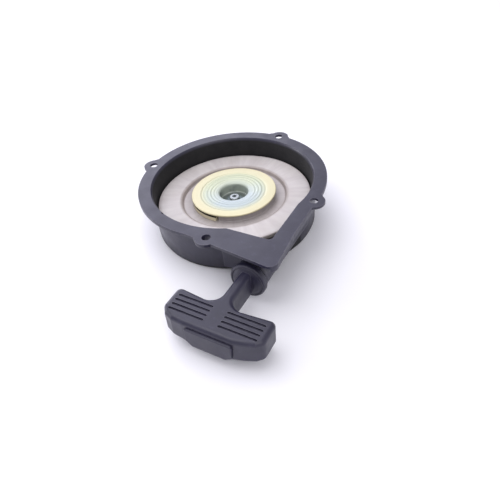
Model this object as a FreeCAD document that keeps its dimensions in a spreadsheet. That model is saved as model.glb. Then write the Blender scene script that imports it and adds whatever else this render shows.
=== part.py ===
"""Recoil starter for a small engine: moulded housing, rope reel, pawl drive and T handle.

Millimetres.  The origin lies on the reel axis, in the face of the mounting flange that
bolts to the engine.  +Z points at the engine and the rope is pulled toward -Y.
"""
import FreeCAD, Part
import math
import os

import Sketcher
from FreeCAD import Placement, Rotation, Vector

doc = FreeCAD.newDocument("RecoilStarter")

# ---------------------------------------------------------------- driving dimensions

SIZES = {
    # housing
    "flange_radius": 80.0,
    "flange_thick": 3.2,
    "mouth_radius": 69.0,
    "bowl_inner_radius": 67.0,
    "bowl_outer_top": 70.6,
    "bowl_outer_low": 69.5,
    "bowl_depth": 43.0,
    "floor_depth": 39.5,
    "bowl_corner": 4.0,
    "ear_circle": 78.0,
    "ear_circle_low": 80.6,
    "ear_radius": 8.8,
    "ear_thick": 2.2,
    "ear_hole_radius": 3.5,
    "bolt_face_radius": 6.8,
    "ear_angle_left": 185.0,
    "ear_angle_top": 85.0,
    "ear_angle_right": -5.0,
    "ear_angle_low": -74.0,
    "nose_lip_depth": 5.2,
    "nose_lip_thick": 3.0,
    "nose_wall": 3.5,
    "nose_pocket_right": 68.0,
    "nose_pocket_left": 29.4,
    "nose_pocket_low": -62.5,
    "nose_pocket_depth": 32.4,
    "nose_corner": 6.0,
    "throat_corner": 3.5,
    "nose_front_thick": 2.4,
    "spout_radius": 12.5,
    "spout_mouth": 79.5,
    "spout_bore": 7.0,
    # rope
    "rope_radius": 1.75,
    "rope_level": -24.0,
    "rope_line": 58.5,
    "rope_pitch": 3.6,
    # reel
    "reel_radius": 66.2,
    "reel_top": -17.2,
    "reel_floor_radius": 47.3,
    "groove_top": -20.6,
    "groove_low": -27.6,
    "reel_low": -30.2,
    "step_outer": 47.0,
    "step_inner": 45.5,
    "web_top": -20.4,
    "web_low": -25.2,
    "boss_radius": 35.0,
    "boss_top": -15.8,
    "well_radius": 14.5,
    "hub_top": -24.8,
    "hub_radius": 12.5,
    "hub_low": -37.4,
    "bush_radius": 10.0,
    "post_radius": 7.95,
    "post_top": -24.5,
    # pawl drive
    "plate_radius": 36.7,
    "plate_top": -13.4,
    "plate_thick": 1.4,
    "plate_step": 29.3,
    "plate_well_radius": 12.6,
    "plate_floor": -23.0,
    "pawl_outer": 36.3,
    "pawl_inner": 28.8,
    "pawl_top": -16.8,
    "pawl_low": -20.2,
    "pawl_pivot_radius": 31.6,
    "pawl_pivot_angle": 267.0,
    "pawl_tip_angle": 197.0,
    "pawl_heel_angle": 274.5,
    "pin_radius": 2.0,
    "screw_head_radius": 4.3,
    "screw_head_top": -19.3,
    "screw_head_low": -22.1,
    "socket_flats": 3.6,
    # spring pack
    "case_radius": 44.0,
    "case_top": -31.0,
    "case_low": -39.4,
    "case_sheet": 0.8,
    "spring_inner": 13.1,
    "spring_outer": 42.4,
    "spring_strip": 0.6,
    "spring_turns": 8.0,
    # handle
    "collar_radius": 14.3,
    "collar_near": 80.2,
    "collar_far": 87.0,
    "neck_half_width": 4.4,
    "neck_flare": 9.5,
    "handle_turn": 2.0,
    "bar_middle": 60.4,
    "bar_half_length": 38.1,
    "bar_near": 117.2,
    "bar_end": 136.0,
    "bar_front": 144.7,
    "bar_half_height": 10.0,
    "groove_pitch": 4.2,
    "groove_width": 1.8,
    "groove_depth": 1.3,
    "cap_middle": 62.2,
    "cap_level": -25.5,
    "cap_half_length": 17.8,
    "cap_half_height": 7.6,
    "cap_proud": 2.1,
}

sheet = doc.addObject("Spreadsheet::Sheet", "Sizes")
sheet.Label = "Sizes"
for row, (word, number) in enumerate(SIZES.items(), start=1):
    sheet.set("A%d" % row, word)
    sheet.set("B%d" % row, str(number))
    sheet.setAlias("B%d" % row, word)
doc.recompute()


class Dim:
    """A size that carries both its number and the expression that gives it."""

    def __init__(self, value, text):
        self.value = value
        self.text = text

    def __add__(self, other):
        other = dim(other)
        return Dim(self.value + other.value, "(%s + %s)" % (self.text, other.text))

    def __sub__(self, other):
        other = dim(other)
        return Dim(self.value - other.value, "(%s - %s)" % (self.text, other.text))

    def __mul__(self, other):
        other = dim(other)
        return Dim(self.value * other.value, "(%s * %s)" % (self.text, other.text))

    def __neg__(self):
        return Dim(-self.value, "(0 - %s)" % self.text)

    def __radd__(self, other):
        return dim(other) + self

    def __rsub__(self, other):
        return dim(other) - self

    def __rmul__(self, other):
        return dim(other) * self


def dim(word):
    """A spreadsheet word, or a plain number, as a Dim."""
    if isinstance(word, Dim):
        return word
    if isinstance(word, str):
        return Dim(SIZES[word], "Sizes." + word)
    return Dim(float(word), "%.4f" % word if word >= 0 else "(0 - %.4f)" % -word)


def cosine(angle):
    angle = dim(angle)
    return Dim(math.cos(math.radians(angle.value)), "cos(%s * 1 deg)" % angle.text)


def sine(angle):
    angle = dim(angle)
    return Dim(math.sin(math.radians(angle.value)), "sin(%s * 1 deg)" % angle.text)


def polar(radius, angle):
    return dim(radius) * cosine(angle), dim(radius) * sine(angle)


# ---------------------------------------------------------------- sketch and body helpers

def new_body(label, where=(0, 0, 0)):
    body = doc.addObject("PartDesign::Body", label)
    body.Label = label
    body.Placement = Placement(Vector(*[dim(v).value for v in where]), Rotation())
    for axis, value in zip("xyz", where):
        if isinstance(value, (str, Dim)):
            body.setExpression("Placement.Base." + axis, dim(value).text)
    return body


def origin_plane(body, role):
    return next(f for f in body.Origin.OriginFeatures if f.Role == role)


def new_sketch(body, name, role="XY_Plane", offset=0, at=(0, 0)):
    """A sketch on one of the body's origin planes, lifted by offset along its normal."""
    sketch = body.newObject("Sketcher::SketchObject", name)
    sketch.AttachmentSupport = [(origin_plane(body, role), "")]
    sketch.MapMode = "FlatFace"
    shift = [dim(at[0]), dim(at[1]), dim(offset)]
    sketch.AttachmentOffset = Placement(Vector(*[s.value for s in shift]), Rotation())
    for axis, value in zip("xyz", shift):
        sketch.setExpression("AttachmentOffset.Base." + axis, value.text)
    return sketch


def fix_point(sketch, geometry, point, x, y):
    """Hold a sketch point at (x, y) from the sketch origin."""
    for kind, value in (("DistanceX", x), ("DistanceY", y)):
        index = sketch.addConstraint(
            Sketcher.Constraint(kind, -1, 1, geometry, point, value.value)
        )
        sketch.setExpression("Constraints[%d]" % index, value.text)


def draw_outline(sketch, points):
    """A closed outline of straight edges through the given points."""
    points = [(dim(x), dim(y)) for x, y in points]
    first = sketch.GeometryCount
    count = len(points)
    for i in range(count):
        a, b = points[i], points[(i + 1) % count]
        sketch.addGeometry(
            Part.LineSegment(Vector(a[0].value, a[1].value, 0), Vector(b[0].value, b[1].value, 0))
        )
    for i in range(count):
        following = first + (i + 1) % count
        sketch.addConstraint(Sketcher.Constraint("Coincident", first + i, 2, following, 1))
    for i, (x, y) in enumerate(points):
        fix_point(sketch, first + i, 1, x, y)


def draw_circle(sketch, radius, x=0, y=0):
    radius, x, y = dim(radius), dim(x), dim(y)
    circle = sketch.addGeometry(
        Part.Circle(Vector(x.value, y.value, 0), Vector(0, 0, 1), radius.value)
    )
    index = sketch.addConstraint(Sketcher.Constraint("Radius", circle, radius.value))
    sketch.setExpression("Constraints[%d]" % index, radius.text)
    fix_point(sketch, circle, 3, x, y)


def sized(feature, prop, value):
    value = dim(value)
    setattr(feature, prop, value.value)
    feature.setExpression(prop, value.text)


def pad(body, sketch, length, reverse=False):
    feature = body.newObject("PartDesign::Pad", sketch.Name + "Pad")
    feature.Profile = sketch
    feature.Reversed = reverse
    sized(feature, "Length", length)
    sketch.Visibility = False
    return feature


def pocket(body, sketch, length, reverse=False):
    feature = body.newObject("PartDesign::Pocket", sketch.Name + "Pocket")
    feature.Profile = sketch
    feature.Reversed = reverse
    sized(feature, "Length", length)
    sketch.Visibility = False
    return feature


def turned(body, sketch, kind="PartDesign::Revolution"):
    """The sketch turned a full circle about its own vertical axis."""
    feature = body.newObject(kind, sketch.Name + "Turned")
    feature.Profile = sketch
    feature.ReferenceAxis = (sketch, ["V_Axis"])
    feature.Angle = 360.0
    sketch.Visibility = False
    return feature


def turned_part(label, points, where=(0, 0, 0)):
    """A whole body turned about Z from its half section (radius, height)."""
    body = new_body(label, where)
    sketch = new_sketch(body, label + "_section", "XZ_Plane")
    draw_outline(sketch, points)
    turned(body, sketch)
    return body


def edges_where(body, test):
    """Names of the edges of the body's tip whose ends and middle pass the test."""
    doc.recompute()
    names = []
    for number, edge in enumerate(body.Tip.Shape.Edges, start=1):
        if test(edge):
            names.append("Edge%d" % number)
    return names


def soften(body, name, radius, test, kind="PartDesign::Fillet"):
    names = edges_where(body, test)
    base = body.Tip
    feature = body.newObject(kind, name)
    feature.Base = (base, names)
    sized(feature, "Radius" if kind.endswith("Fillet") else "Size", radius)
    return feature


def box_of(edge):
    return edge.BoundBox


def is_upright(edge):
    box = box_of(edge)
    return box.XLength < 0.01 and box.YLength < 0.01 and box.ZLength > 0.5


def near(edge, x, y, reach=0.6):
    centre = box_of(edge).Center
    return abs(centre.x - x) < reach and abs(centre.y - y) < reach


# ---------------------------------------------------------------- housing

def build_housing():
    body = new_body("housing")

    flange = new_sketch(body, "flange")
    draw_circle(flange, "flange_radius")
    pad(body, flange, "flange_thick", reverse=True)

    corner_x, corner_y = 83.6, -89.6
    nose = [
        (40.0, 0.0), (79.6, -8.0), (80.3, -51.0), (corner_x, corner_y),
        (42.5, -84.4), (4.0, -79.9),
    ]
    plate = new_sketch(body, "nose_plate")
    draw_outline(plate, nose)
    pad(body, plate, "nose_lip_depth", reverse=True)
    soften(body, "nose_round", "nose_corner",
           lambda e: is_upright(e) and near(e, corner_x, corner_y))
    lip = dim("nose_lip_thick")
    hollow = new_sketch(body, "lip_hollow", offset=-dim("nose_lip_depth"))
    draw_outline(hollow, [
        (20.0, 20.0), (79.6 - lip, 20.0), (80.3 - lip, -51.0),
        (corner_x - lip - 0.4, corner_y + lip * 3.2), (corner_x - lip * 1.5, corner_y + lip * 1.6),
        (corner_x - lip * 1.3, corner_y - 4.0), (-2.0, corner_y - 4.0),
    ])
    pocket(body, hollow, dim("nose_lip_depth") - "nose_front_thick", reverse=True)

    for name, circle, thick in (("left", "ear_circle", "ear_thick"), ("top", "ear_circle", "ear_thick"),
                                ("right", "ear_circle", "ear_thick"),
                                ("low", "ear_circle_low", "flange_thick")):
        angle = "ear_angle_" + name
        ear = new_sketch(body, "ear_" + name)
        x, y = polar(circle, angle)
        draw_circle(ear, "ear_radius", x, y)
        pad(body, ear, thick, reverse=True)
        if name == "low":
            boss = new_sketch(body, "ear_boss")
            draw_circle(boss, dim("ear_radius") - 2.4, x, y)
            pad(body, boss, "nose_lip_depth", reverse=True)
        # the web that blends the round ear into the flange rim
        web = new_sketch(body, "ear_web_" + name)
        reach = dim(circle) + 4.6
        draw_outline(web, [
            polar(60.0, dim(angle) - 7.0), polar(79.3, dim(angle) - 8.6),
            polar(reach, dim(angle) - 5.2), polar(reach, dim(angle) + 5.2),
            polar(79.3, dim(angle) + 8.6), polar(60.0, dim(angle) + 7.0),
        ])
        pad(body, web, thick, reverse=True)

    bowl = new_sketch(body, "bowl", "XZ_Plane")
    draw_outline(bowl, [
        (0, -1.0), ("bowl_outer_top", -1.0),
        ("bowl_outer_top", -dim("flange_thick")),
        ("bowl_outer_low", dim("bowl_corner") - "bowl_depth"),
        (dim("bowl_outer_low") - dim("bowl_corner") * 0.3,
         -(dim("bowl_depth") - dim("bowl_corner") * 0.3)),
        (dim("bowl_outer_low") - "bowl_corner", -dim("bowl_depth")),
        (0, -dim("bowl_depth")),
    ])
    turned(body, bowl)

    # the snout: a side wall that rounds under the rope, seen along the rope
    wall = dim("nose_wall")
    line, level = dim("rope_line"), dim("rope_level")
    outer = dim("spout_radius")
    start = 4.0
    snout = new_sketch(body, "snout", "XZ_Plane", offset=start)
    draw_outline(snout, [(26.0, -1.0), (line + outer, -1.0)] + [
        (line + outer * cosine(angle), level + outer * sine(angle))
        for angle in range(0, -91, -10)
    ] + [(26.0, level - outer)])
    pad(body, snout, wall - dim("nose_pocket_low") - start)

    spout = new_sketch(body, "spout", offset="rope_level", at=("rope_line", 0))
    mouth = dim("spout_mouth")
    draw_outline(spout, [
        (0, -60.0), ("spout_radius", -60.0), ("spout_radius", 4.0 - mouth),
        (dim("spout_radius") + 0.6, 1.2 - mouth), (dim("spout_radius") + 0.6, -mouth), (0, -mouth),
    ])
    turned(body, spout)

    room = new_sketch(body, "room", "XZ_Plane")
    draw_outline(room, [
        (0, 1.0), (dim("mouth_radius") + 0.6, 1.0), (dim("mouth_radius") + 0.6, 0.0),
        ("mouth_radius", -0.8), (dim("mouth_radius") - 0.8, -2.4),
        (dim("bowl_inner_radius"), 2.0 - dim("floor_depth")),
        (dim("bowl_inner_radius") - 2.0, -dim("floor_depth")), (0, -dim("floor_depth")),
    ])
    turned(body, room, "PartDesign::Groove")

    # small timing notch in the rim of the mouth
    notch = new_sketch(body, "rim_notch")
    draw_circle(notch, 1.5, *polar(69.2, -112.5))
    pocket(body, notch, 2.6)

    # the same section again, smaller, hollows the snout from the reel side
    pocket_right, pocket_low = dim("nose_pocket_right"), dim("nose_pocket_low")
    inner = pocket_right - line
    throat = new_sketch(body, "throat", "XZ_Plane", offset=8.0)
    draw_outline(throat, [("nose_pocket_left", 1.0), (pocket_right, 1.0)] + [
        (line + inner * cosine(angle), level + inner * sine(angle))
        for angle in (0, -18, -36, -54, -72, -90)
    ] + [("nose_pocket_left", level - inner)])
    pocket(body, throat, -8.0 - pocket_low, reverse=True)
    soften(body, "throat_round", "throat_corner",
           lambda e: is_upright(e) and near(e, pocket_right.value, pocket_low.value))

    bore = new_sketch(body, "outlet", offset="rope_level", at=("rope_line", 0))
    draw_outline(bore, [(0, -55.0), ("spout_bore", -55.0), ("spout_bore", -90.0), (0, -90.0)])
    turned(body, bore, "PartDesign::Groove")

    for name, circle in (("left", "ear_circle"), ("top", "ear_circle"),
                         ("right", "ear_circle"), ("low", "ear_circle_low")):
        hole = new_sketch(body, "ear_hole_" + name)
        draw_circle(hole, "ear_hole_radius", *polar(circle, "ear_angle_" + name))
        pocket(body, hole, dim("nose_lip_depth") + 2)

    # spot faces for the bolt heads, under the three open ears
    for name in ("left", "top", "right"):
        face = new_sketch(body, "bolt_face_" + name, offset=-dim("ear_thick"))
        draw_circle(face, "bolt_face_radius", *polar("ear_circle", "ear_angle_" + name))
        pocket(body, face, 4.0)

    # ring wall that centres the spring case, and the bore the post is pressed into
    ring = new_sketch(body, "case_ring", offset=-dim("floor_depth") - 0.5)
    draw_circle(ring, dim("case_radius") + 2.3)
    draw_circle(ring, dim("case_radius") + 0.1)
    pad(body, ring, 6.5)
    root = new_sketch(body, "post_bore", offset=-dim("floor_depth") + 1)
    draw_circle(root, 6.0)
    pocket(body, root, 3.5)

    # outer face: a sunk ring and a fan of shallow flutes
    ring = new_sketch(body, "face_ring", offset=-dim("bowl_depth"))
    draw_circle(ring, 60.0)
    draw_circle(ring, 57.5)
    pocket(body, ring, 1.0, reverse=True)
    flute = new_sketch(body, "face_flute", offset=-dim("bowl_depth"))
    draw_outline(flute, [(24.0, -2.0), (52.0, -3.4), (52.0, 3.4), (24.0, 2.0)])
    cut = pocket(body, flute, 1.2, reverse=True)
    fan = body.newObject("PartDesign::PolarPattern", "face_fan")
    fan.Originals = [cut]
    fan.Axis = (flute, ["N_Axis"])
    fan.Angle = 360.0
    fan.Occurrences = 12
    body.Tip = fan
    return body


housing = build_housing()

# ---------------------------------------------------------------- fixed centre

post = turned_part("center_post", [
    (2.5, -41.9), (5.98, -41.9), (5.98, -dim("floor_depth")), (11.0, -dim("floor_depth")),
    (11.0, 1.5 - dim("floor_depth")), ("post_radius", 1.5 - dim("floor_depth")),
    ("post_radius", dim("post_top") - 0.6), (dim("post_radius") - 0.6, "post_top"),
    (3.2, "post_top"), (2.5, dim("post_top") - 0.7),
])

thrust_washer = turned_part("thrust_washer", [
    (8.1, 1.5 - dim("floor_depth")), (12.4, 1.5 - dim("floor_depth")),
    (12.4, 2.0 - dim("floor_depth")), (8.1, 2.0 - dim("floor_depth")),
])


def build_spring_case():
    radius, sheet_metal = dim("case_radius"), dim("case_sheet")
    top, low = dim("case_top"), dim("case_low")
    body = turned_part("spring_case", [
        (14.2, top), (radius - 0.8, top), (radius, top - 0.8), (radius, low),
        (radius - sheet_metal, low), (radius - sheet_metal, top - 1.1),
        (radius - sheet_metal - 0.4, top - sheet_metal), (14.2, top - sheet_metal),
    ])
    holes = new_sketch(body, "case_windows", offset=top + 1)
    draw_circle(holes, 2.2, *polar(30.0, 40.0))
    cut = pocket(body, holes, 3.0)
    pattern = body.newObject("PartDesign::PolarPattern", "case_window_ring")
    pattern.Originals = [cut]
    pattern.Axis = (holes, ["N_Axis"])
    pattern.Angle = 360.0
    pattern.Occurrences = 3
    body.Tip = pattern
    return body


spring_case = build_spring_case()


def build_recoil_spring():
    """A flat strip wound as an Archimedean spiral, on edge, with a hook at each end."""
    inner, outer = SIZES["spring_inner"], SIZES["spring_outer"]
    strip, turns = SIZES["spring_strip"], SIZES["spring_turns"]
    low, height = SIZES["case_low"] + 0.6, 6.6
    steps_per_turn = 20
    count = int(turns * steps_per_turn)

    def side(offset):
        points = []
        for i in range(count + 1):
            angle = 2 * math.pi * i / steps_per_turn
            radius = inner + (outer - inner) * i / count + offset
            points.append(Vector(radius * math.cos(angle), radius * math.sin(angle), low))
        curve = Part.BSplineCurve()
        curve.interpolate(points)
        return curve.toShape()

    near_side, far_side = side(0.0), side(strip)
    ends = [Part.makeLine(near_side.Vertexes[i].Point, far_side.Vertexes[i].Point) for i in (0, -1)]
    wire = Part.Wire(Part.__sortEdges__([near_side, ends[1], far_side, ends[0]]))
    shape = Part.Face(wire).extrude(Vector(0, 0, height))
    feature = doc.addObject("Part::Feature", "recoil_spring")
    feature.Label = "recoil_spring"
    feature.Shape = shape
    feature.Placement = Placement(Vector(0, 0, 0), Rotation())
    return feature


recoil_spring = build_recoil_spring()

# ---------------------------------------------------------------- reel


def sector(sketch, inner, outer, start, stop, steps):
    """A ring sector drawn with short straight edges."""
    start, stop = dim(start), dim(stop)
    points = []
    for radius, order in ((inner, range(steps + 1)), (outer, range(steps, -1, -1))):
        for i in order:
            share = i / steps
            points.append(polar(radius, start * (1 - share) + stop * share))
    draw_outline(sketch, points)


def build_reel():
    body = turned_part("reel", [
        ("bush_radius", "hub_low"), ("hub_radius", "hub_low"), ("hub_radius", "reel_low"),
        (16.5, "reel_low"), (16.5, "web_low"), (45.0, "web_low"), (45.0, "reel_low"),
        (dim("reel_radius") - 0.5, "reel_low"), ("reel_radius", dim("reel_low") + 0.5),
        ("reel_radius", dim("groove_low") - 0.4), (dim("reel_radius") - 0.6, "groove_low"),
        ("reel_floor_radius", "groove_low"), ("reel_floor_radius", "groove_top"),
        (dim("reel_radius") - 0.6, "groove_top"), ("reel_radius", dim("groove_top") + 0.4),
        ("reel_radius", dim("reel_top") - 0.6), (dim("reel_radius") - 0.6, "reel_top"),
        ("step_outer", "reel_top"), ("step_inner", dim("reel_top") - 0.8),
        (dim("step_inner") - 1.0, "web_top"), (dim("boss_radius") + 0.6, "web_top"),
        ("boss_radius", dim("web_top") + 0.6), ("boss_radius", dim("boss_top") - 0.4),
        (dim("boss_radius") - 0.4, "boss_top"), (dim("well_radius") + 3.2, "boss_top"),
        ("well_radius", dim("boss_top") - 2.0),
        ("well_radius", "hub_top"), ("bush_radius", "hub_top"),
    ])
    # pocket the pawl lies in, open at the rim of the boss
    bay = new_sketch(body, "pawl_bay", offset=dim("boss_top") + 1)
    sector(bay, 27.4, 40.0, dim("pawl_tip_angle") - 7.0, dim("pawl_heel_angle") + 3.0, 12)
    pocket(body, bay, 1.0 + dim("boss_top") - (dim("pawl_low") - 0.2))
    # slot the cam tab of the plate travels in
    slot = new_sketch(body, "cam_slot", offset=dim("boss_top") + 1)
    sector(slot, 25.2, 28.6, 196.0, 244.0, 8)
    pocket(body, slot, 5.6)
    # seat of the pawl pin and of its spring
    pin_x, pin_y = polar("pawl_pivot_radius", "pawl_pivot_angle")
    seat = new_sketch(body, "spring_seat", offset=dim("pawl_low") + 0.5)
    draw_circle(seat, 4.2, pin_x, pin_y)
    pocket(body, seat, 3.4)
    hole = new_sketch(body, "pin_hole", offset=dim("pawl_low") + 0.5)
    draw_circle(hole, "pin_radius", pin_x, pin_y)
    pocket(body, hole, 8.0)
    # knot chamber behind the rope groove
    chamber = new_sketch(body, "knot_chamber", offset=dim("reel_low") - 1)
    draw_outline(chamber, [(-48.6, -10.5), (-34.0, -10.5), (-34.0, 1.6), (-48.6, 1.6)])
    pocket(body, chamber, 10.1, reverse=True)
    # notch in the hub for the inner hook of the spring
    notch = new_sketch(body, "hook_notch", offset=dim("hub_low") - 1)
    draw_outline(notch, [(11.0, -1.6), (14.0, -1.6), (14.0, 1.6), (11.0, 1.6)])
    pocket(body, notch, 6.5, reverse=True)
    return body


reel = build_reel()

reel_bush = turned_part("reel_bush", [
    (dim("post_radius") + 0.06, "hub_low"), ("bush_radius", "hub_low"),
    ("bush_radius", "hub_top"), (dim("post_radius") + 0.06, "hub_top"),
])

# ---------------------------------------------------------------- rope


def swept(edges, thickness=SIZES["rope_radius"]):
    """Round rope or wire swept along a route that stays tangent from edge to edge."""
    route = Part.Wire(edges)
    start = route.Edges[0].valueAt(route.Edges[0].FirstParameter)
    heading = route.Edges[0].tangentAt(route.Edges[0].FirstParameter)
    ring = Part.Wire(Part.Circle(start, heading, thickness).toShape())
    return route.makePipeShell([ring], True, False)


def arc(centre, radius, start, stop, level=SIZES["rope_level"]):
    """Level arc; angles in degrees, start to stop counterclockwise."""
    def at(angle):
        turn = math.radians(angle)
        return Vector(centre[0] + radius * math.cos(turn), centre[1] + radius * math.sin(turn),
                      level)
    return Part.Arc(at(start), at((start + stop) / 2), at(stop)).toShape()


def shape_object(label, shape, where=Vector(0, 0, 0)):
    feature = doc.addObject("Part::Feature", label)
    feature.Label = label
    feature.Shape = shape
    feature.Placement = Placement(where, Rotation())
    return feature


def build_rope_coil():
    """Two and a half turns laid side by side in the groove, then in to a stopper knot."""
    pitch, line = SIZES["rope_pitch"], SIZES["rope_line"]
    centre, radius = pitch / 4, line - pitch / 4
    edges = []
    for half in range(5):
        start = 0 if half % 2 == 0 else 180
        middle = centre if half % 2 == 0 else centre - pitch / 2
        edges.append(arc((middle, 0), radius, start, start + 180))
        radius -= pitch / 2
    end_x = edges[-1].Vertexes[-1].Point.x
    if abs(edges[-1].Vertexes[0].Point.x) > abs(end_x):
        end_x = -abs(end_x)
    bend = 5.0
    edges.append(arc((end_x + bend, 0), bend, 180, 270))
    tail = Vector(end_x + bend, -bend, SIZES["rope_level"])
    edges.append(Part.makeLine(tail, tail + Vector(2.5, 0, 0)))
    knot = Part.makeSphere(2.55, tail + Vector(4.0, 0, 0))
    loop = Part.makeTorus(1.2, 1.45, tail + Vector(4.0, 0, 0), Vector(1, 0.3, 0))
    return shape_object("rope_coil", swept(edges).fuse([knot, loop]).removeSplitter())


rope_coil = build_rope_coil()

knot_seat = -126.6


def build_rope_run():
    start = Vector(SIZES["rope_line"], 0, SIZES["rope_level"])
    stop = Vector(SIZES["rope_line"], knot_seat, SIZES["rope_level"])
    return shape_object("rope_run", swept([Part.makeLine(start, stop)]))


rope_run = build_rope_run()


def build_rope_knot():
    centre = Vector(SIZES["rope_line"], knot_seat - 4.4, SIZES["rope_level"])
    core = Part.makeSphere(4.2, centre)
    loops = [Part.makeTorus(2.9, 1.9, centre, Vector(*tilt)) for tilt in ((1, 0.4, 0), (0, 0.4, 1))]
    tail = Part.makeCylinder(SIZES["rope_radius"], 7.5, centre, Vector(0.15, -1, 0.1))
    return shape_object("rope_knot", core.fuse(loops + [tail]).removeSplitter())


rope_knot = build_rope_knot()

# ---------------------------------------------------------------- rope outlet


def along_rope(label, points):
    """A body turned about the straight run of the rope, from (radius, distance) points."""
    body = new_body(label)
    sketch = new_sketch(body, label + "_section", offset="rope_level", at=("rope_line", 0))
    draw_outline(sketch, [(radius, -dim(distance)) for radius, distance in points])
    turned(body, sketch)
    return body


rope_guide = along_rope("rope_guide", [
    (3.4, 61.5), (6.98, 61.5), (6.98, 78.2), (6.2, 79.3), (4.2, 79.3), (2.3, 77.6), (2.3, 63.0),
])

# ---------------------------------------------------------------- pawl drive


def build_plate():
    top, thick = dim("plate_top"), dim("plate_thick")
    step, well = dim("plate_step"), dim("plate_well_radius")
    floor = dim("plate_floor")
    body = turned_part("friction_plate", [
        (4.4, floor), (well - 1.6, floor), (well - 0.6, floor + 1.0), (well - 0.3, top - 2.4),
        (well + 0.1, top - 1.4), (well + 1.0, top - 0.8), (16.0, top - 0.5), (19.2, top - 0.42),
        (20.4, top - 0.28), (21.8, top - 0.22), (23.8, top - 0.22), (25.2, top - 0.28),
        (26.4, top - 0.40), (step - 1.2, top - 0.34), (step, top - 0.08), (step + 0.8, top),
        (dim("plate_radius") - 0.4, top), ("plate_radius", top - 0.4),
        ("plate_radius", top - thick + 0.3), (dim("plate_radius") - 0.3, top - thick),
        (step + 0.3, top - thick), (step - 0.4, top - thick - 0.3),
        (26.0, top - thick - 0.4), (20.0, top - thick - 0.4), (16.5, top - thick - 0.45),
        (well + 1.1, top - 3.2), (well + 0.7, floor + 0.4), (well - 0.4, floor - 1.1),
        (4.4, floor - 1.1),
    ])
    tab = new_sketch(body, "cam_tab", offset=top - thick - 0.2)
    sector(tab, 26.0, 27.6, 200.0, 208.0, 3)
    pad(body, tab, 4.6, reverse=True)
    return body


friction_plate = build_plate()

friction_spring = turned_part("friction_spring", [
    (8.8, dim("hub_top") + 0.05), (11.6, dim("hub_top") + 0.05),
    (11.6, dim("hub_top") + 0.45), (8.8, dim("hub_top") + 0.65),
])

screw_washer = turned_part("screw_washer", [
    (4.1, dim("plate_floor") + 0.06), (7.2, dim("plate_floor") + 0.06),
    (7.2, "screw_head_low"), (4.1, "screw_head_low"),
])


def build_screw():
    head, top, low = dim("screw_head_radius"), dim("screw_head_top"), dim("screw_head_low")
    tip = dim("post_top") - 10.5
    body = turned_part("center_screw", [
        (0, tip), (2.0, tip), (2.48, tip + 0.6), (2.48, "post_top"), (4.0, "post_top"),
        (4.0, low), (head, low), (head, top - 0.5), (head - 0.5, top), (0, top),
    ])
    socket = new_sketch(body, "hex_socket", offset=top)
    corner = dim("socket_flats") * 0.57735
    draw_outline(socket, [polar(corner, 60 * i) for i in range(6)])
    pocket(body, socket, 2.0)
    return body


center_screw = build_screw()


def build_pawl():
    body = new_body("pawl")
    blade = new_sketch(body, "pawl_blade", offset="pawl_low")
    sector(blade, "pawl_inner", "pawl_outer", "pawl_tip_angle", "pawl_heel_angle", 14)
    thick = dim("pawl_top") - "pawl_low"
    pad(body, blade, thick)
    hole = new_sketch(body, "pawl_hole", offset="pawl_top")
    draw_circle(hole, dim("pin_radius") + 0.06, *polar("pawl_pivot_radius", "pawl_pivot_angle"))
    pocket(body, hole, thick + 1)
    return body


pawl = build_pawl()

pin_where = polar("pawl_pivot_radius", "pawl_pivot_angle") + (0,)
pawl_pin = turned_part("pawl_pin", [
    (0, -25.2), ("pin_radius", -25.2), ("pin_radius", dim("pawl_top") - 0.3),
    (dim("pin_radius") - 0.3, "pawl_top"), (0, "pawl_top"),
], pin_where)


def build_pawl_spring():
    """Open wire ring with two legs round the pawl pin, in the seat under the pawl."""
    x, y = [v.value for v in pin_where[:2]]
    level, radius, leg, wire = SIZES["pawl_low"] - 1.2, 2.9, 2.2, 0.35
    bow = arc((x, y), radius, 60, 300, level)
    ends = [bow.valueAt(bow.FirstParameter), bow.valueAt(bow.LastParameter)]
    slope = Vector(math.sin(math.radians(60)), math.cos(math.radians(60)), 0) * leg
    first = Part.makeLine(ends[0] + Vector(slope.x, -slope.y, 0), ends[0])
    last = Part.makeLine(ends[1], ends[1] + slope)
    return shape_object("pawl_spring", swept([first, bow, last], wire))


pawl_spring = build_pawl_spring()

# ---------------------------------------------------------------- handle


def cap_outline(gap):
    """Front view of the cap, grown by a gap: a long plate with its low corners cut off."""
    x, z = dim("cap_middle"), dim("cap_level")
    length, height = dim("cap_half_length") + gap, dim("cap_half_height") + gap
    return [
        (x - length, z - height + 4.2), (x - length + 4.6, z - height), (x + length - 5.4, z - height),
        (x + length - 0.6, z - height + 3.6), (x + length, z + height - 1.0),
        (x + length - 1.0, z + height), (x - length + 1.0, z + height), (x - length, z + height - 1.0),
    ]


def turn_on_rope(body):
    """The handle hangs on the rope, turned a little about it in its seat."""
    rope = Vector(SIZES["rope_line"], 0, SIZES["rope_level"])
    body.Placement = Placement(Vector(), Rotation(Vector(0, 1, 0), SIZES["handle_turn"]), rope)


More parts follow.
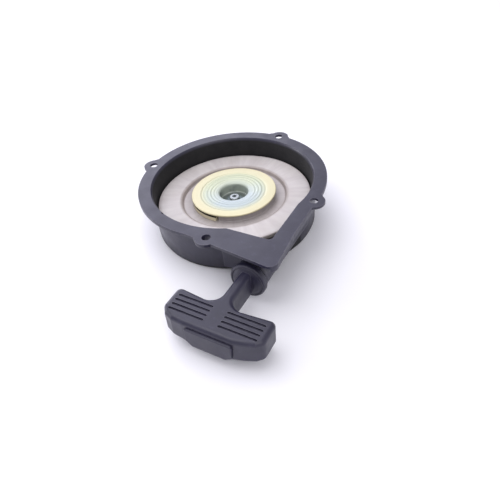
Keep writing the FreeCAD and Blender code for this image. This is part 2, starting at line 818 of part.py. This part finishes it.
def build_grip():
    body = new_body("grip")
    centre = dim("rope_line")
    half = dim("bar_half_height")
    top = dim("rope_level") + half
    bar = new_sketch(body, "bar", offset=top)
    neck, near_side = dim("neck_half_width"), -dim("bar_near")
    middle, reach = dim("bar_middle"), dim("bar_half_length")
    left, right = middle - reach, middle + reach
    end, front = -dim("bar_end"), -dim("bar_front")
    waist = near_side - 3.0
    draw_outline(bar, [
        (left, near_side), (centre - neck, waist), (centre - neck, -85.0), (centre + neck, -85.0),
        (centre + neck, waist), (right, near_side),
        (right, end), (right - 4.4, end - 4.2), (right - 12.4, end - 7.0), (middle + 18.4, front),
        (middle - 18.6, front), (left + 10.6, end - 8.0), (left + 4.2, end - 5.4), (left, end),
    ])
    pad(body, bar, half * 2, reverse=True)

    # the underside rises toward both ends
    low = top - half * 2
    for name, side in (("left", -1), ("right", 1)):
        rise = new_sketch(body, "rise_" + name, "XZ_Plane", offset=95.0)
        far = middle + (reach + 2.0) * side
        draw_outline(rise, [
            (middle + 14.0 * side, low), (far, low + 2.0),
            (far, low - 2.0), (middle + 14.0 * side, low - 2.0),
        ])
        pocket(body, rise, 60.0, reverse=True)

    soften(body, "neck_flares", "neck_flare", lambda e: is_upright(e) and (
        near(e, (centre - neck).value, waist.value) or near(e, (centre + neck).value, waist.value)))
    soften(body, "bar_corners", 4.2, lambda e: is_upright(e) and (
        near(e, left.value, near_side.value) or near(e, right.value, near_side.value)))
    soften(body, "bar_ends", 5.0, lambda e: is_upright(e) and (
        near(e, left.value, end.value) or near(e, right.value, end.value)))

    def rim(edge, lowest, highest):
        """Outline edges of the upper or lower face, without the creases across it."""
        box = box_of(edge)
        inside = left.value + 1 < box.Center.x < right.value - 1
        crease = box.XLength < 0.01 and box.YLength > 12.0 and inside
        inside = box.YMin > -85.01
        on_neck = abs(abs(box.Center.x - centre.value) - neck.value) < 0.01
        return box.ZMin > lowest and box.ZMax < highest and not inside and (on_neck or not crease)

    soften(body, "upper_rim", 3.2, lambda e: rim(e, top.value - 0.01, top.value + 0.01))
    soften(body, "lower_rim", 2.6, lambda e: rim(e, low.value - 0.01, low.value + 2.1))

    stem = new_sketch(body, "stem", offset="rope_level", at=("rope_line", 0))
    collar = dim("collar_radius")
    start, stop = -dim("collar_near"), -dim("collar_far")
    draw_outline(stem, [
        (0, start), (collar - 1.6, start), (collar - 0.5, start - 0.5), (collar, start - 1.4),
        (collar, stop + 2.6), (collar - 0.5, stop + 1.5), (collar - 1.5, stop + 1.0),
        (collar - 2.1, stop + 1.5), (collar - 2.8, stop + 1.0), (collar - 4.6, stop + 0.1),
        (collar - 7.4, stop - 0.7), (0, stop - 1.2),
    ])
    turned(body, stem)

    for side, inner, outer in ((-1, 6.6, 32.8), (1, 5.6, 32.8)):
        for line in range(4):
            y = near_side - 7.2 - dim("groove_pitch") * line
            for level, name in ((top, "top"), (top - half * 2, "low")):
                grip_line = new_sketch(body, "line_%s_%d_%d" % (name, side + 1, line), offset=level)
                wide = dim("groove_width") * 0.5
                a, b = middle + side * inner, middle + side * outer
                draw_outline(grip_line, [
                    (a, y - wide), (b, y - wide), (b + side * 0.9, y), (b, y + wide), (a, y + wide),
                    (a - side * 0.9, y),
                ])
                extra = 1.0 if name == "low" else 0.0
                pocket(body, grip_line, dim("groove_depth") + extra, reverse=(name == "low"))

    bore = new_sketch(body, "rope_bore", offset="rope_level", at=("rope_line", 0))
    draw_outline(bore, [
        (0, -75.0), (4.2, -75.0), (4.2, -81.0), (2.1, -83.5), (2.1, -126.0), (0, -126.0),
    ])
    turned(body, bore, "PartDesign::Groove")
    cell = new_sketch(body, "knot_cell", "XZ_Plane", offset=-(front - 1))
    level = dim("rope_level")
    draw_outline(cell, [
        (centre - 8.0, level - 5.5), (centre + 8.0, level - 5.5),
        (centre + 8.0, level + 5.5), (centre - 8.0, level + 5.5),
    ])
    pocket(body, cell, 1 - front - 124.7)
    seat = new_sketch(body, "cap_seat", "XZ_Plane", offset=-(front - 1))
    draw_outline(seat, cap_outline(0.35))
    pocket(body, seat, 1.6)
    turn_on_rope(body)
    return body


grip = build_grip()


def build_cap():
    body = new_body("grip_cap")
    rope, level = dim("rope_line"), dim("rope_level")
    face = -dim("bar_front")
    plate = new_sketch(body, "cap_plate", "XZ_Plane", offset=-face - 0.5)
    draw_outline(plate, cap_outline(0))
    pad(body, plate, dim("cap_proud") + 0.5)

    def outer_edge(edge):
        return box_of(edge).YMax < face.value - SIZES["cap_proud"] + 0.01

    soften(body, "cap_bevel", 0.7, outer_edge)
    plug = new_sketch(body, "cap_plug", "XZ_Plane", offset=-face - 5.0)
    draw_outline(plug, [
        (rope - 7.8, level - 5.2), (rope + 7.8, level - 5.2),
        (rope + 7.8, level + 5.2), (rope - 7.8, level + 5.2),
    ])
    pad(body, plug, 5.0)
    turn_on_rope(body)
    return body


grip_cap = build_cap()

knot_washer = along_rope("knot_washer", [
    (2.1, 124.8), (5.2, 124.8), (5.2, 126.2), (2.1, 126.2),
])

# ---------------------------------------------------------------- check and write

NODES = [
    housing, post, thrust_washer, spring_case, recoil_spring, reel, reel_bush, rope_coil,
    rope_run, rope_knot, rope_guide, friction_plate, friction_spring, screw_washer,
    center_screw, pawl, pawl_pin, pawl_spring, grip, grip_cap, knot_washer,
]

doc.recompute()
for thing in doc.Objects:
    bad = [state for state in thing.State if state in ("Invalid", "Error")]
    if bad:
        raise RuntimeError("%s is %s" % (thing.Label, bad))
os.makedirs("parts", exist_ok=True)
for node in NODES:
    if node.Shape.isNull() or not node.Shape.isValid():
        raise RuntimeError(node.Label + " has no valid shape")
    node.Shape.exportStep("parts/%s.step" % node.Label)
    print("%-16s solids %d  volume %9.1f mm3" % (node.Label, len(node.Shape.Solids), node.Shape.Volume))
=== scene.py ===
"""Looks for the recoil starter: materials, soft edges, rope, floor, light and camera."""
import math

import bmesh
import bpy
from mathutils import Matrix, Vector


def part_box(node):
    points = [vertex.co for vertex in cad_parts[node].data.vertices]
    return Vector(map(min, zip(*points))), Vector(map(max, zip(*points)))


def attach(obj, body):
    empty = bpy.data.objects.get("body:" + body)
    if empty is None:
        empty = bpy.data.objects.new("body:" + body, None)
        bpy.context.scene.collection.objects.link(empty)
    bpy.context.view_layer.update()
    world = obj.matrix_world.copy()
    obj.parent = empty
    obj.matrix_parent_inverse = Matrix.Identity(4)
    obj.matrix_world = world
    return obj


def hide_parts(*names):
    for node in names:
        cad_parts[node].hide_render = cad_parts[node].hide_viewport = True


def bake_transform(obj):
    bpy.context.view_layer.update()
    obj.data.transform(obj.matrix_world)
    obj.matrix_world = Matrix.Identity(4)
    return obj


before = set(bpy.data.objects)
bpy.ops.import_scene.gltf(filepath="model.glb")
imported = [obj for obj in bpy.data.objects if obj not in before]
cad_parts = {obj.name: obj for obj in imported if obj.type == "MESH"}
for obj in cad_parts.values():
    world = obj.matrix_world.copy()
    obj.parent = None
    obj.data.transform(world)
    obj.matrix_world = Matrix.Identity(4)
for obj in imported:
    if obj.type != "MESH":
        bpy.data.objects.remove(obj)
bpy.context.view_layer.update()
scene = bpy.context.scene
scene.view_settings.view_transform = "Standard"
MM = 0.001

# inside faces of the housing and edge of the plate's dish, in metres
BOWL_WALL = 0.0698
NOSE_RIGHT, NOSE_FRONT = 0.0681, -0.0626
MOUTH_LEVEL = -0.0010
DISH_FROM, DISH_TO = 0.0140, 0.0300
PAWL_TOP = -0.01685


# ---------------------------------------------------------------- node helpers

class Shader:
    """A material with one Principled shader and short ways to feed it."""

    def __init__(self, name, colour, roughness, metallic=0.0, **sockets):
        self.material = bpy.data.materials.new(name)
        self.material.use_nodes = True
        self.tree = self.material.node_tree
        self.nodes = self.tree.nodes
        self.bsdf = self.nodes["Principled BSDF"]
        self.bsdf.inputs["Base Color"].default_value = (*colour, 1.0)
        self.bsdf.inputs["Roughness"].default_value = roughness
        self.bsdf.inputs["Metallic"].default_value = metallic
        for key, value in sockets.items():
            self.bsdf.inputs[key.replace("_", " ")].default_value = value
        self.place = self.add("ShaderNodeTexCoord").outputs["Object"]

    def add(self, kind, **props):
        node = self.nodes.new(kind)
        for key, value in props.items():
            setattr(node, key, value)
        return node

    def join(self, source, target):
        self.tree.links.new(source, target)

    def feed(self, socket, value):
        if isinstance(value, (int, float)):
            socket.default_value = value
        elif isinstance(value, tuple):
            socket.default_value = (*value, 1.0)
        else:
            self.join(value, socket)

    def set(self, name, source):
        self.join(source, self.bsdf.inputs[name])

    def noise(self, scale, detail=3.0, rough=0.55, stretch=None, place=None):
        node = self.add("ShaderNodeTexNoise")
        node.inputs["Scale"].default_value = scale
        node.inputs["Detail"].default_value = detail
        node.inputs["Roughness"].default_value = rough
        source = place or self.place
        if stretch:
            mapping = self.add("ShaderNodeMapping")
            mapping.inputs["Scale"].default_value = stretch
            self.join(source, mapping.inputs["Vector"])
            source = mapping.outputs["Vector"]
        self.join(source, node.inputs["Vector"])
        return node.outputs["Fac"]

    def math(self, operation, a, b=0.0):
        node = self.add("ShaderNodeMath", operation=operation)
        self.feed(node.inputs[0], a)
        self.feed(node.inputs[1], b)
        return node.outputs[0]

    def axes(self):
        node = self.add("ShaderNodeSeparateXYZ")
        self.join(self.place, node.inputs[0])
        return node.outputs

    def vector(self, x, y, z):
        node = self.add("ShaderNodeCombineXYZ")
        for socket, value in zip(node.inputs, (x, y, z)):
            self.feed(socket, value)
        return node.outputs[0]

    def around(self):
        """Radius in metres and angle in radians about the reel's axis."""
        x, y, z = self.axes()
        radius = self.math("SQRT", self.math("ADD", self.math("MULTIPLY", x, x),
                                             self.math("MULTIPLY", y, y)))
        return radius, self.math("ARCTAN2", y, x), z

    def ramp(self, source, stops):
        node = self.add("ShaderNodeValToRGB")
        elements = node.color_ramp.elements
        while len(elements) < len(stops):
            elements.new(0.5)
        for element, (spot, colour) in zip(elements, stops):
            element.position = spot
            element.color = (*colour, 1.0)
        self.join(source, node.inputs["Fac"])
        return node.outputs["Color"]

    def spread(self, source, low, high, out_low, out_high):
        node = self.add("ShaderNodeMapRange")
        for key, value in zip(("From Min", "From Max", "To Min", "To Max"),
                              (low, high, out_low, out_high)):
            node.inputs[key].default_value = value
        self.join(source, node.inputs["Value"])
        return node.outputs["Result"]

    def mix(self, factor, a, b, mode="MIX"):
        node = self.add("ShaderNodeMix", data_type="RGBA", blend_type=mode)
        for socket, value in zip([s for s in node.inputs if s.enabled], (factor, a, b)):
            self.feed(socket, value)
        return [s for s in node.outputs if s.enabled][0]

    def bump(self, source, strength, distance, under=None):
        node = self.add("ShaderNodeBump")
        node.inputs["Strength"].default_value = strength
        node.inputs["Distance"].default_value = distance
        self.join(source, node.inputs["Height"])
        if under:
            self.join(under, node.inputs["Normal"])
        return node.outputs["Normal"]


# ---------------------------------------------------------------- materials

def worn_and_highlit_edges(s, reach):
    """1 on crisp edges and corners, 0 on flat faces, broken up by noise. It paints edges lighter,
    both as rubbed wear and as painted highlight.

    The dot product of the rounded and the true normal is 1 where a face is flat.
    """
    rounded = s.add("ShaderNodeBevel", samples=6)
    rounded.inputs["Radius"].default_value = reach
    flat = s.add("ShaderNodeNewGeometry").outputs["Normal"]
    dot = s.add("ShaderNodeVectorMath", operation="DOT_PRODUCT")
    s.join(rounded.outputs["Normal"], dot.inputs[0])
    s.join(flat, dot.inputs[1])
    bent = s.spread(dot.outputs["Value"], 0.80, 0.99, 1.0, 0.0)
    return s.math("MULTIPLY", bent, s.spread(s.noise(260.0, 4.0, 0.65), 0.36, 0.60, 0.15, 1.0))


def inside_housing(s):
    """1 on the inner faces of the bowl and of the nose, 0 outside."""
    radius, _, height = s.around()
    x, y, _ = s.axes()
    bowl = s.spread(radius, BOWL_WALL - 0.0008, BOWL_WALL, 1.0, 0.0)
    across = s.math("MULTIPLY", s.spread(x, 0.0, 0.0100, 0.0, 1.0),
                    s.spread(x, NOSE_RIGHT, NOSE_RIGHT + 0.0006, 1.0, 0.0))
    along = s.math("MULTIPLY", s.spread(y, NOSE_FRONT - 0.0006, NOSE_FRONT, 0.0, 1.0),
                   s.spread(y, -0.0100, 0.0, 1.0, 0.0))
    nose = s.math("MULTIPLY", across, along)
    below = s.spread(height, MOUTH_LEVEL - 0.0020, MOUTH_LEVEL, 1.0, 0.0)
    return s.math("MULTIPLY", s.math("MAXIMUM", bowl, nose), below)


def moulded_plastic(name, dark, light, roughness, edge, painted_shade_inside=False):
    """Black glass-filled nylon: fine spark-eroded grain, faint flow marks, dusty patches, edges
    lightened as rubbed wear and painted highlight, and, when asked, near-black painted shade on the
    inner faces.
    """
    s = Shader(name, dark, roughness, Specular_IOR_Level=0.58)
    flow = s.noise(28.0, 5.0, 0.6, (1.0, 1.0, 2.6))
    dust = s.noise(170.0, 4.0, 0.7)
    base = s.ramp(flow, [(0.3, dark), (0.72, light)])
    pale = tuple(1.9 * v + 0.006 for v in light)
    colour = s.mix(s.spread(dust, 0.56, 0.78, 0.0, 0.45), base, pale)
    gloss = s.spread(s.noise(90.0, 4.0), 0.3, 0.7, roughness - 0.05, roughness + 0.10)
    if painted_shade_inside:
        # painted shade: the inner faces of the bowl and nose are painted near black for the shade
        # deep inside, and made duller
        within = inside_housing(s)
        colour = s.mix(within, colour, (0.004, 0.0036, 0.005))
        gloss = s.math("ADD", gloss, s.math("MULTIPLY", within, 0.40))
    # edges painted lighter and bluer: partly rubbed wear, partly painted highlight
    colour = s.mix(s.math("MULTIPLY", worn_and_highlit_edges(s, edge), 0.7), colour, (0.125, 0.120, 0.150))
    s.set("Base Color", colour)
    s.set("Roughness", gloss)
    grain = s.bump(s.noise(2400.0, 2.0), 0.22, 0.00008)
    s.set("Normal", s.bump(s.noise(220.0, 2.0), 0.10, 0.00012, grain))
    return s.material


def nylon(name="reel_nylon"):
    """Natural nylon: warm grey-white, faint radial flow lines and grease smudges, with rings of
    painted shade.
    """
    s = Shader(name, (0.60, 0.565, 0.56), 0.42, Subsurface_Weight=0.12, Subsurface_Scale=0.003,
               Subsurface_Radius=(1.0, 0.92, 0.88))
    radius, angle, _ = s.around()
    spokes = s.noise(1.0, 3.0, 0.6, None, s.vector(s.math("MULTIPLY", angle, 9.0),
                                                   s.math("MULTIPLY", radius, 26.0), 0.0))
    smudge = s.noise(42.0, 4.0, 0.6)
    rub = s.noise(1.0, 4.0, 0.6, None, s.vector(s.math("MULTIPLY", angle, 2.2),
                                                s.math("MULTIPLY", radius, 900.0), 0.0))
    base = s.ramp(spokes, [(0.32, (0.555, 0.515, 0.515)), (0.66, (0.645, 0.61, 0.60))])
    worn = s.mix(s.spread(smudge, 0.45, 0.75, 0.0, 0.55), base, (0.50, 0.455, 0.43))
    # painted shade: darker rings under the plate's edge, in the groove and next to the bowl wall
    painted_shade_rings = s.ramp(s.spread(radius, 0.036, 0.0665, 0.0, 1.0),
                  [(0.0, (0.62, 0.60, 0.60)), (0.24, (0.80, 0.78, 0.78)), (0.315, (0.55, 0.50, 0.47)),
                   (0.40, (0.98, 0.97, 0.97)), (0.88, (1.0, 1.0, 1.0)), (1.0, (0.82, 0.80, 0.80))])
    s.set("Base Color", s.mix(1.0, worn, painted_shade_rings, "MULTIPLY"))
    s.set("Roughness", s.spread(rub, 0.3, 0.7, 0.36, 0.50))
    fine = s.bump(s.noise(1500.0, 2.0), 0.10, 0.00005)
    s.set("Normal", s.bump(rub, 0.06, 0.00006, fine))
    return s.material


def plate_film(s, radius, angle, cloud):
    """The zinc film on the plate: painted shade in the central well, straw rim, straw to blue-white
    in between.
    """
    wave = s.math("ADD", s.math("MULTIPLY", radius, 25.0), s.math("MULTIPLY", cloud, 0.10))
    # painted shade: the central well is painted dark grey-green
    painted_shade_cup = [(0.0, (0.20, 0.24, 0.24)), (0.30, (0.11, 0.135, 0.13)), (0.345, (0.16, 0.185, 0.18))]
    rim = [(0.80, (0.68, 0.64, 0.43)), (1.0, (0.68, 0.62, 0.40))]
    straw = s.ramp(wave, painted_shade_cup + [(0.362, (0.45, 0.50, 0.43)), (0.50, (0.60, 0.64, 0.48)),
                                (0.68, (0.58, 0.62, 0.43))] + rim)
    blue = s.ramp(wave, painted_shade_cup + [(0.362, (0.42, 0.48, 0.49)), (0.46, (0.54, 0.61, 0.64)),
                               (0.64, (0.48, 0.55, 0.56)), (0.72, (0.56, 0.58, 0.46))] + rim)
    side = s.math("MULTIPLY", s.math("COSINE", s.math("ADD", angle, 0.9)), 0.5)
    film = s.math("ADD", side, s.math("MULTIPLY", cloud, 0.9))
    return s.mix(s.spread(film, 0.15, 0.85, 0.0, 1.0), straw, blue)


def spun_rings(s, radius, cloud):
    """Fine rings left by spinning, from -1 to 1 on the dished part and 0 elsewhere."""
    ripple = s.math("SINE", s.math("ADD", s.math("MULTIPLY", radius, 2150.0),
                                   s.math("MULTIPLY", cloud, 2.0)))
    dished = s.math("MULTIPLY", s.spread(radius, DISH_FROM, DISH_FROM + 0.0025, 0.0, 1.0),
                    s.spread(radius, DISH_TO - 0.0035, DISH_TO, 1.0, 0.0))
    return s.math("MULTIPLY", ripple, dished)


def yellow_zinc(name, spun):
    """Chromated zinc plating, on the spun plate or on the pawl, whose top face is painted dark as the
    plate's shadow.
    """
    s = Shader(name, (0.60, 0.57, 0.40), 0.42, 0.30, Specular_IOR_Level=0.35)
    radius, angle, height = s.around()
    cloud = s.noise(60.0, 4.0, 0.6)
    under = None
    if spun:
        rings = spun_rings(s, radius, cloud)
        base = s.mix(s.spread(rings, 0.0, 1.0, 0.0, 0.20),
                     plate_film(s, radius, angle, cloud), (0.40, 0.46, 0.42))
        under = s.bump(rings, 0.5, 0.00025)
    else:
        plain_zinc = s.ramp(cloud, [(0.3, (0.76, 0.68, 0.45)), (0.7, (0.88, 0.82, 0.62))])
        # painted shadow: the pawl's top face under the plate is painted near black
        top = s.spread(height, PAWL_TOP - 0.00003, PAWL_TOP + 0.00003, 0.0, 0.96)
        base = s.mix(top, plain_zinc, (0.010, 0.009, 0.008))
    turned = s.noise(1.0, 4.0, 0.6, None, s.vector(s.math("MULTIPLY", angle, 0.7),
                                                   s.math("MULTIPLY", radius, 2600.0), height))
    s.set("Base Color", s.mix(s.spread(turned, 0.3, 0.8, 0.0, 0.18), base, (0.40, 0.40, 0.32)))
    s.set("Roughness", s.spread(turned, 0.3, 0.7, 0.34, 0.50))
    s.set("Normal", s.bump(turned, 0.10, 0.00004, under))
    return s.material


def metal(name, colour, roughness, scratch=(1.0, 1.0, 12.0)):
    """Turned or rolled steel: bright, with fine marks along one way."""
    s = Shader(name, colour, roughness, 1.0)
    marks = s.noise(700.0, 3.0, 0.6, scratch)
    stain = s.noise(120.0, 3.0)
    dull = tuple(0.72 * v for v in colour)
    s.set("Base Color", s.mix(s.spread(stain, 0.35, 0.75, 0.0, 0.6), colour, dull))
    s.set("Roughness", s.spread(marks, 0.3, 0.7, roughness - 0.08, roughness + 0.12))
    s.set("Normal", s.bump(marks, 0.08, 0.00004))
    return s.material


def braid(name, core=None):
    """Braided nylon cord, straight along Y about core, or wound on the reel without one.

    Two families of strands cross, with a dark fleck in one.
    """
    s = Shader(name, (0.70, 0.68, 0.64), 0.75, Sheen_Weight=0.2)
    if core:
        x, y, z = s.axes()
        turn = s.math("ARCTAN2", s.math("SUBTRACT", z, core[1]), s.math("SUBTRACT", x, core[0]))
        run = s.math("MULTIPLY", y, 2300.0)
    else:
        radius, angle, height = s.around()
        turn = s.math("MULTIPLY", s.math("ADD", radius, height), 1700.0)
        run = s.math("MULTIPLY", angle, 115.0)
    strands = s.math("MULTIPLY", turn, 4.0)
    left = s.math("SINE", s.math("ADD", strands, run))
    right = s.math("SINE", s.math("SUBTRACT", strands, run))
    weave = s.math("MAXIMUM", left, right)
    fleck = s.math("SINE", s.math("ADD", turn, s.math("MULTIPLY", run, 0.25)))
    base = s.ramp(weave, [(0.0, (0.36, 0.34, 0.31)), (0.6, (0.70, 0.68, 0.64)),
                          (1.0, (0.80, 0.78, 0.74))])
    s.set("Base Color", s.mix(s.spread(fleck, 0.90, 0.97, 0.0, 0.8), base, (0.05, 0.06, 0.10)))
    fuzz = s.bump(s.noise(5200.0, 2.0), 0.2, 0.00005)
    s.set("Normal", s.bump(weave, 0.7, 0.00016, fuzz))
    return s.material


rope_low, rope_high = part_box("rope_run")
line_x, line_z = (rope_low.x + rope_high.x) / 2, (rope_low.z + rope_high.z) / 2
rope_core = (line_x, line_z)
BLACK_DARK, BLACK_LIGHT = (0.016, 0.0145, 0.032), (0.024, 0.022, 0.047)
shell = moulded_plastic("black_shell", BLACK_DARK, BLACK_LIGHT, 0.36, 0.0014, True)
grip_black = moulded_plastic("black_grip", BLACK_DARK, BLACK_LIGHT, 0.36, 0.0010)
bright_zinc = metal("bright_zinc", (0.74, 0.75, 0.77), 0.30)
LOOKS = {
    "housing": shell, "grip": grip_black, "grip_cap": grip_black,
    "reel": nylon(), "thrust_washer": nylon("washer_nylon"),
    "friction_plate": yellow_zinc("plate_zinc", True), "pawl": yellow_zinc("pawl_zinc", False),
    "center_post": metal("turned_steel", (0.55, 0.56, 0.58), 0.35),
    "knot_washer": bright_zinc, "center_screw": metal("screw_zinc", (0.43, 0.46, 0.47), 0.44),
    "screw_washer": metal("dull_zinc", (0.20, 0.24, 0.25), 0.45),
    "spring_case": metal("pressed_zinc", (0.66, 0.67, 0.69), 0.36),
    "recoil_spring": metal("blued_strip", (0.16, 0.17, 0.22), 0.32, (1.0, 1.0, 30.0)),
    "friction_spring": metal("spring_wire", (0.42, 0.42, 0.44), 0.34),
    "pawl_spring": metal("music_wire", (0.46, 0.46, 0.48), 0.30),
    "reel_bush": metal("sintered_bronze", (0.50, 0.34, 0.16), 0.55, (1.0, 1.0, 1.0)),
    "rope_guide": metal("ferrule_steel", (0.58, 0.59, 0.61), 0.28),
    "pawl_pin": metal("pin_steel", (0.52, 0.53, 0.55), 0.32),
    "rope_coil": braid("rope_wound"), "rope_run": braid("rope_straight", rope_core),
    "rope_knot": braid("rope_tied", rope_core),
}
for name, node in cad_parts.items():
    for slot in node.material_slots:
        slot.material = LOOKS[name]

# ---------------------------------------------------------------- soft edges on moulded parts


def soften(node, width):
    """Join the vertices the export split, then round the crisp edges a little."""
    weld = node.modifiers.new("weld", "WELD")
    weld.merge_threshold = 0.002 * MM
    bevel = node.modifiers.new("edge", "BEVEL")
    bevel.width = width * MM
    bevel.segments = 2
    bevel.limit_method = "ANGLE"
    bevel.angle_limit = math.radians(38)
    bevel.harden_normals = True
    bevel.use_clamp_overlap = True


for name, width in (("housing", 0.45), ("grip_cap", 0.3)):
    soften(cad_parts[name], width)

# ---------------------------------------------------------------- rope


def rope_mesh(name, start, stop, radius, rings, sides=16):
    """Straight round cord from start to stop, both on a line along Y."""
    mesh = bmesh.new()
    loops = []
    for i in range(rings + 1):
        y = start[1] + (stop[1] - start[1]) * i / rings
        loops.append([mesh.verts.new((start[0] + radius * math.cos(2 * math.pi * k / sides), y,
                                      start[2] + radius * math.sin(2 * math.pi * k / sides)))
                      for k in range(sides)])
    for near, far in zip(loops, loops[1:]):
        for k in range(sides):
            mesh.faces.new((near[k], near[(k + 1) % sides], far[(k + 1) % sides], far[k]))
    mesh.faces.new(list(reversed(loops[0])))
    mesh.faces.new(loops[-1])
    bmesh.ops.recalc_face_normals(mesh, faces=mesh.faces)
    data = bpy.data.meshes.new(name)
    mesh.to_mesh(data)
    mesh.free()
    for face in data.polygons:
        face.use_smooth = len(face.vertices) == 4
    obj = bpy.data.objects.new(name, data)
    scene.collection.objects.link(obj)
    return obj


# the first part lies in the groove and turns with the reel, the rest runs straight out to the handle
leaves_groove = -0.0212
thickness = (rope_high.x - rope_low.x) / 2
cords = [rope_mesh(name, (line_x, start, line_z), (line_x, stop, line_z), thickness, rings)
         for name, start, stop, rings in (("rope_in_groove", rope_high.y, leaves_groove, 8),
                                          ("pull_rope", leaves_groove, rope_low.y, 150))]
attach(cords[0], "reel")
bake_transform(cords[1])
for rope in cords:
    rope.data.materials.append(LOOKS["rope_run"])
    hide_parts("rope_run")

# ---------------------------------------------------------------- floor, light, camera

floor_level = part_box("housing")[0].z
floor_mesh = bpy.data.meshes.new("floor")
reach = 3.0
floor_mesh.from_pydata(
    [(-reach, -reach, floor_level), (reach, -reach, floor_level),
     (reach, reach, floor_level), (-reach, reach, floor_level)], [], [(0, 1, 2, 3)])
floor = bpy.data.objects.new("floor", floor_mesh)
scene.collection.objects.link(floor)
paper = Shader("paper", (0.92, 0.915, 0.95), 0.9, Specular_IOR_Level=0.1)
paper.set("Normal", paper.bump(paper.noise(300.0), 0.05, 0.0001))
floor_mesh.materials.append(paper.material)

world = bpy.data.worlds.new("studio")
world.use_nodes = True
world.node_tree.nodes["Background"].inputs["Color"].default_value = (0.95, 0.95, 1.0, 1.0)
world.node_tree.nodes["Background"].inputs["Strength"].default_value = 0.60
scene.world = world


def area_light(name, spot, target, size, power, colour):
    light = bpy.data.lights.new(name, "AREA")
    light.shape = "DISK"
    light.size = size
    light.energy = power
    light.color = colour
    lamp = bpy.data.objects.new(name, light)
    lamp.location = spot
    lamp.rotation_euler = (Vector(target) - Vector(spot)).to_track_quat("-Z", "Y").to_euler()
    scene.collection.objects.link(lamp)


area_light("top", (-0.30, -0.05, 1.35), (0, 0, 0), 1.4, 9.6, (0.98, 0.97, 1.0))
area_light("back", (-0.92, 0.98, 0.76), (0, 0, 0), 1.15, 6.9, (0.85, 0.85, 1.0))
area_light("fill", (0.95, -0.70, 1.10), (0, 0, 0), 1.2, 6.8, (0.98, 0.96, 1.0))
area_light("side", (-1.30, -0.35, 0.42), (0.02, -0.08, -0.02), 0.7, 6.5, (0.93, 0.92, 1.0))
area_light("rim", (-1.25, 0.62, 0.24), (0.02, -0.08, -0.02), 0.5, 2.5, (0.93, 0.92, 1.0))

# the camera looks down at the open side from beyond the rope outlet
lens = bpy.data.cameras.new("camera")
lens.lens = 36.0
lens.sensor_width = 36.0
lens.clip_start = 0.01
camera = bpy.data.objects.new("camera", lens)
spot = Vector((0.2024, -0.3028, 0.2272))
back = Vector((0.409, -0.642, 0.648)).normalized()
level_right = Vector((0, 0, 1)).cross(back).normalized()
level_up = back.cross(level_right)
roll = math.radians(-6.75)
right = level_right * math.cos(roll) + level_up * math.sin(roll)
up = level_up * math.cos(roll) - level_right * math.sin(roll)
turn = Matrix((right, up, back)).transposed().to_4x4()
camera.matrix_world = Matrix.Translation(spot) @ turn
scene.collection.objects.link(camera)
scene.camera = camera
